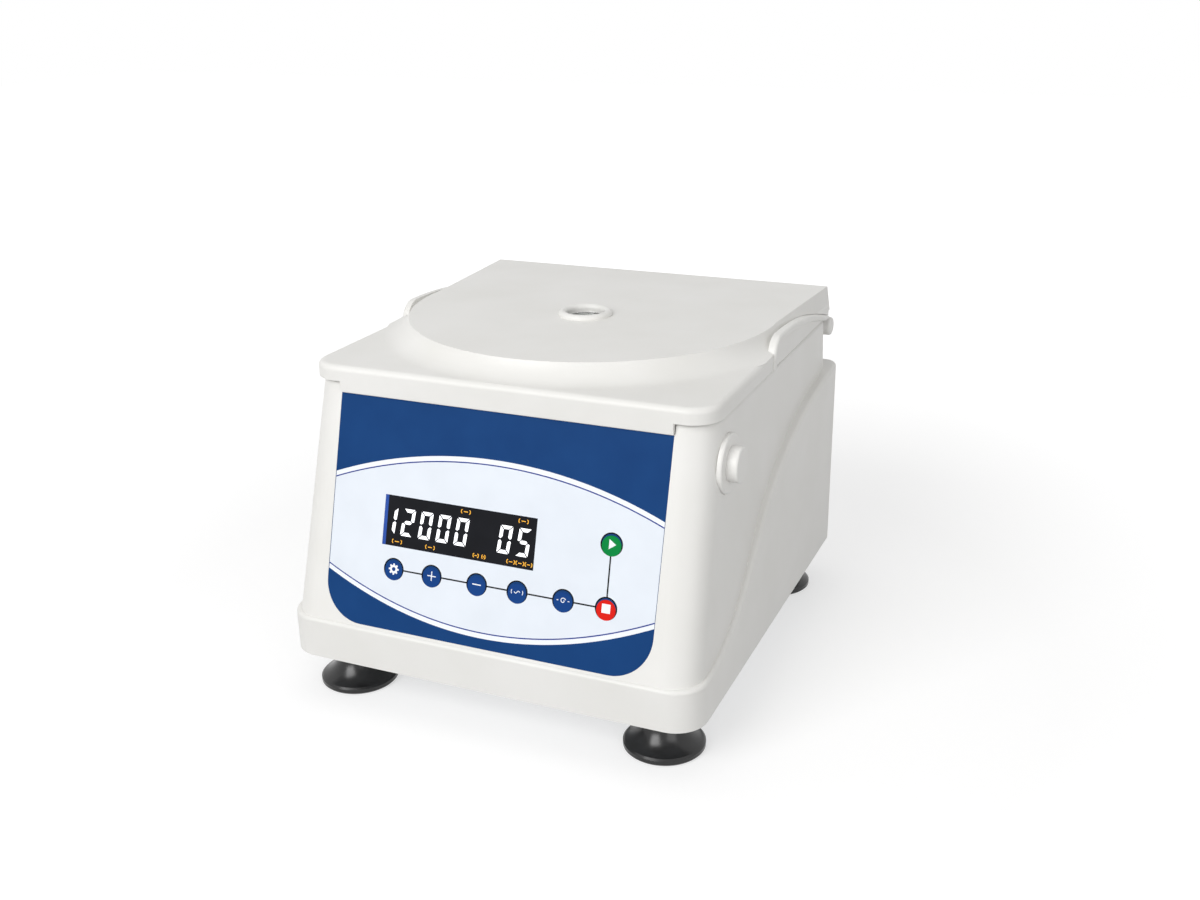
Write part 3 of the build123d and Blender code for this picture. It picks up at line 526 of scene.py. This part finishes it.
wiring = {"gap": 0.1, "ring": 0.9, "width": 1.0}
ringIn = keyRadius + wiring["gap"]
ringOut = ringIn + wiring["ring"]
for node, (x, v) in keyAt.items():
    rings = [circle(x, v, ringOut), circle(x, v, ringIn)]
    printShape(node + "Ring", rings, thirdPrint, inkThick, "black", caseBody)
rowOrder = sorted((n for n in keyNodes if n != "key_start"), key=lambda n: keyAt[n][0])
pairs = list(zip(rowOrder, rowOrder[1:])) + [("key_stop", "key_start")]
for number, (one, other) in enumerate(pairs):
    start, end = np.array(keyAt[one]), np.array(keyAt[other])
    step = (end - start) / np.linalg.norm(end - start) * (ringOut - wiring["gap"])
    stroke = ribbon([start + step, end - step], wiring["width"])
    printShape(f"keyLink{number + 1}", [stroke], thirdPrint, inkThick, "black", caseBody)
print("key rings and links printed")


# Icons on the keys; each rides on its own key

icons = {
    "gearOut": 3.8,
    "gearIn": 2.8,
    "gearHole": 1.35,
    "gearTeeth": 8,
    "arm": 3.1,
    "stroke": 0.7,
    "fine": 0.5,
    "wave": (2.1, 0.75),  # half its length, and its height
    "bracket": (1.7, 2.4, 35),  # centre, radius and half its angle
    "swirl": 1.9,
    "swirlTurn": (20, 400),
    "swirlEnd": 0.35,  # share of the radius that is left at its inner end
    "side": (3.2, 4.4),  # reach of the short strokes beside the swirl
    "stop": 2.9,
    "start": (-1.7, 3.0, 3.2),  # back, tip and half the height
}


def gearShape():
    # the radius steps between two values, with short flanks, once for each tooth
    turn = np.linspace(0, 2 * math.pi, 240, endpoint=False)
    wave = np.clip(np.cos(turn * icons["gearTeeth"]) * 3, -1, 1)
    radius = (icons["gearOut"] + icons["gearIn"]) / 2 + wave * (icons["gearOut"] - icons["gearIn"]) / 2
    outline = np.column_stack([radius * np.cos(turn), radius * np.sin(turn)])
    return [outline, circle(0, 0, icons["gearHole"], 40)]


def plusShape():
    a, s = icons["arm"], icons["stroke"] / 2
    quarter = np.array([(s, a), (s, s), (a, s)])
    corners = []
    for turns in range(4):
        angle = -turns * math.pi / 2
        spin = np.array([[math.cos(angle), -math.sin(angle)], [math.sin(angle), math.cos(angle)]])
        corners.extend((quarter @ spin.T).tolist())
    return [np.array(corners)]


def arcLine(x, v, radius, start, end, count=24):
    turn = np.radians(np.linspace(start, end, count))
    return np.column_stack([x + radius * np.cos(turn), v + radius * np.sin(turn)])


def waveShape():
    # one sine wave between two brackets
    half, high = icons["wave"]
    middle, radius, reach = icons["bracket"]
    x = np.linspace(-half, half, 40)
    strokes = [np.column_stack([x, high * np.sin(x * math.pi / half)])]
    strokes.append(arcLine(-middle, 0, radius, 180 - reach, 180 + reach))
    strokes.append(arcLine(middle, 0, radius, -reach, reach))
    return [ribbon(line, icons["fine"]) for line in strokes]


def swirlShape():
    # an open ring with its end turned in, and a short stroke on each side
    turn = np.linspace(*np.radians(icons["swirlTurn"]), 90)
    radius = icons["swirl"] * np.linspace(1, icons["swirlEnd"], 90)
    spiral = np.column_stack([radius * np.cos(turn), radius * np.sin(turn)])
    near, far = icons["side"]
    sides = [np.array([(near, 0.0), (far, 0.0)]), np.array([(-far, 0.0), (-near, 0.0)])]
    return [ribbon(line, icons["fine"]) for line in [spiral] + sides]


def iconShape(node):
    stop = icons["stop"]
    back, tip, tall = icons["start"]
    shapes = {
        "key_settings": gearShape,
        "key_plus": plusShape,
        "key_minus": lambda: [rectangle(0, 0, 2 * icons["arm"], icons["stroke"])],
        "key_ramp": waveShape,
        "key_pulse": swirlShape,
        "key_stop": lambda: [rectangle(0, 0, 2 * stop, 2 * stop)],
        "key_start": lambda: [np.array([(back, -tall), (tip, 0.0), (back, tall)])],
    }
    return shapes[node]()


for node, at in keyAt.items():
    shapes = [outline + np.array(at) for outline in iconShape(node)]
    printShape(node + "Icon", shapes, topOf(node), inkThick, "white", bodyOf[node])
print("key icons printed")


# Display: seven-segment digits, amber marks and the blue edge

digits = {
    "numbers": (("12000", 4.9), ("05", 89.5)),  # with each first cell's middle, from the window's left edge
    "pitch": 13.3,
    "width": 8.8,
    "height": 18.2,
    "stroke": 2.3,
    "lean": 0.1,  # sideways shift for each millimetre of height
    "seam": 0.5,  # half the dark gap between two segments
}
litSegments = {"0": "abcdef", "1": "bc", "2": "abged", "5": "afgcd"}
marks = {
    "top": ((60.0, 6.5), (101.5, 6.5)),
    "low": ((11.0, 7.0), (36.0, 6.5), (69.8, 3.8), (75.4, 2.4), (95.0, 5.5), (101.5, 5.5), (107.6, 4.8)),
    "fromEdge": 3.1,
    "height": 2.6,
    "stroke": 0.55,
    "hook": 0.7,
    "upright": 0.6,  # share of the height
    "dash": 0.45,  # share of the width
}


def segments():
    # mitred bars about the digit's middle; s keeps the mitred ends of two neighbours apart
    w, h, t, s = digits["width"] / 2, digits["height"] / 2, digits["stroke"], digits["seam"]
    top = np.array([(-w + s, h), (w - s, h), (w - t - s, h - t), (-w + t + s, h - t)])
    side = np.array([(w, h - s), (w, 2 * s), (w - t / 2, s), (w - t, t / 2 + s), (w - t, h - t - s)])
    middle = np.array([
        (-w + t / 2 + s, 0), (-w + t + s, t / 2), (w - t - s, t / 2), (w - t / 2 - s, 0),
        (w - t - s, -t / 2), (-w + t + s, -t / 2),
    ])
    return {
        "a": top,
        "b": side,
        "c": side * (1, -1),
        "d": top * (1, -1),
        "e": side * (-1, -1),
        "f": side * (-1, 1),
        "g": middle,
    }


windowTop = topOf("display_window")
windowLeft = displayAt[0] - display["size"][0] / 2
glyphs = segments()
outlines = []
for number, firstX in digits["numbers"]:
    for cell, letter in enumerate(number):
        x = windowLeft + firstX + cell * digits["pitch"]
        for key in litSegments[letter]:
            shape = glyphs[key].copy()
            shape[:, 0] += shape[:, 1] * digits["lean"]
            outlines.append(shape + (x, displayAt[1]))
printShape("displayDigits", outlines, windowTop, inkThick, "lit", caseBody)


def markStrokes(x, v, width):
    # two brackets with a dash between them
    half, tall = width / 2, marks["height"] / 2
    hook, upright, dashEnd = marks["hook"], tall * marks["upright"], half * marks["dash"]
    bracket = np.array([(-half + hook, tall), (-half, upright), (-half, -upright), (-half + hook, -tall)])
    dash = np.array([(-dashEnd, 0.0), (dashEnd, 0.0)])
    return [ribbon(line, marks["stroke"]) + (x, v) for line in (bracket, bracket * (-1, 1), dash)]


outlines = []
halfHigh = display["size"][1] / 2
for row, side in (("top", 1), ("low", -1)):
    for x, width in marks[row]:
        v = displayAt[1] + side * (halfHigh - marks["fromEdge"])
        outlines.extend(markStrokes(windowLeft + x, v, width))
printShape("displayMarks", outlines, windowTop, inkThick, "amber", caseBody)
edge = rectangle(windowLeft + display["edge"] / 2, displayAt[1], display["edge"], display["size"][1])
printShape("displayEdge", [edge], windowTop, inkThick, "strip", caseBody)
print("display lit")


# Rear rocker: a bar and a ring, printed on its two halves

rocker = {"offset": 5.2, "bar": (0.9, 4.2), "ringOut": 1.9, "ringIn": 1.2, "dip": 1.4, "print": 0.05}


def onRocker(flat, out):
    # x across and height up, laid on the rocker's two sloping halves as seen from behind
    low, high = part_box("power_rocker")
    middle = np.array((low + high) / 2) / mm
    flat = np.asarray(flat, float)
    half = (high.z - low.z) / mm / 2
    dip = rocker["dip"] * (1 - np.abs(flat[:, 1]) / half)  # the middle lies deeper than the two ends
    depth = high.y / mm - dip + np.ravel(out)
    return np.column_stack([middle[0] - flat[:, 0], depth, middle[2] + flat[:, 1]]) * mm


barAt = rectangle(0, rocker["offset"], *rocker["bar"])
ringAt = [circle(0, -rocker["offset"], rocker[edge], 40) for edge in ("ringOut", "ringIn")]
rockerBody = bodyOf["power_rocker"]
for name, shapes in (("rockerBar", [barAt]), ("rockerRing", ringAt)):
    printShape(name, shapes, 0.0, rocker["print"], "white", rockerBody, onRocker)
print("rocker marked")


# Floor, world and lights

studio = {
    "floorHalf": 4.0,
    "floorLines": 9,
    "floorColour": "#C0C0C0",
    "floorLift": (0.55, 0.9),  # added for the camera, near and far: bare floor is white and shadows stay
    "liftFrom": (0.35, 1.3),  # metres from the middle
    "world": 0.46,
    "aim": (0, 0, 0.12),  # what the lamps point at
}
lamps = {
    "keyLamp": {"at": (-0.7, -2.2, 1.55), "size": 1.5, "power": 40.0},
    "fillLamp": {"at": (2.0, -1.5, 0.9), "size": 1.6, "power": 13.0},
    "topLamp": {"at": (-0.3, 0.3, 2.3), "size": 1.6, "power": 4.0},
}


def seenDirectly(tree):
    # 1 for rays that come from the camera, or by a mirror or glass
    path = addNode(tree, "LightPath").outputs
    most = addNode(
        tree, "Math", {"operation": "MAXIMUM"}, _0=path["Is Camera Ray"], _1=path["Is Glossy Ray"]
    ).outputs[0]
    return addNode(tree, "Math", {"operation": "MAXIMUM"}, _0=most, _1=path["Is Transmission Ray"]).outputs[0]


def makeFloor():
    half = studio["floorHalf"]
    count = studio["floorLines"]
    x, y = np.meshgrid(np.linspace(-half, half, count), np.linspace(-half, half, count))
    mesh = bpy.data.meshes.new("floor")
    index = np.arange(count * count).reshape(count, count)
    faces = np.stack([index[:-1, :-1], index[:-1, 1:], index[1:, 1:], index[1:, :-1]], -1).reshape(-1, 4)
    mesh.from_pydata(np.column_stack([x.ravel(), y.ravel(), np.zeros(x.size)]).tolist(), [], faces.tolist())
    material = bpy.data.materials.new("paperFloor")
    material.use_nodes = True
    tree = material.node_tree
    tree.nodes.remove(tree.nodes["Principled BSDF"])
    paper = addNode(tree, "BsdfDiffuse", Color=hexToLinear(studio["floorColour"])).outputs[0]
    place = addNode(tree, "TexCoord").outputs["Object"]
    away = addNode(tree, "VectorMath", {"operation": "LENGTH"}, _0=place).outputs["Value"]
    (near, far), (first, last) = studio["floorLift"], studio["liftFrom"]
    ramp = addNode(tree, "MapRange", Value=away, From_Min=first, From_Max=last, To_Min=near, To_Max=far)
    lift = addNode(tree, "Emission", Color=(1, 1, 1, 1), Strength=ramp.outputs["Result"]).outputs[0]
    bright = addNode(tree, "AddShader", _0=paper, _1=lift).outputs[0]
    mix = addNode(tree, "MixShader", _0=seenDirectly(tree), _1=paper, _2=bright).outputs[0]
    tree.links.new(mix, tree.nodes["Material Output"].inputs["Surface"])
    mesh.materials.append(material)
    floor = bpy.data.objects.new("floor", mesh)
    bpy.context.scene.collection.objects.link(floor)


def makeWorld():
    world = bpy.data.worlds.new("studio")
    world.use_nodes = True
    tree = world.node_tree
    soft = tree.nodes["Background"]
    soft.inputs["Color"].default_value = (1, 1, 1, 1)
    soft.inputs["Strength"].default_value = studio["world"]
    white = addNode(tree, "Background", Color=(1, 1, 1, 1), Strength=1.0).outputs[0]
    mix = addNode(tree, "MixShader", _0=seenDirectly(tree), _1=soft.outputs[0], _2=white).outputs[0]
    tree.links.new(mix, tree.nodes["World Output"].inputs["Surface"])
    bpy.context.scene.world = world


def makeLamps():
    aim = Vector(studio["aim"])
    for name, lamp in lamps.items():
        data = bpy.data.lights.new(name, "AREA")
        data.shape = "SQUARE"
        data.size = lamp["size"]
        data.energy = lamp["power"]
        item = bpy.data.objects.new(name, data)
        item.location = lamp["at"]
        item.rotation_euler = (aim - Vector(lamp["at"])).to_track_quat("-Z", "Y").to_euler()
        bpy.context.scene.collection.objects.link(item)


makeFloor()
makeWorld()
makeLamps()
bpy.context.scene.view_settings.view_transform = "Standard"
print("studio lit")
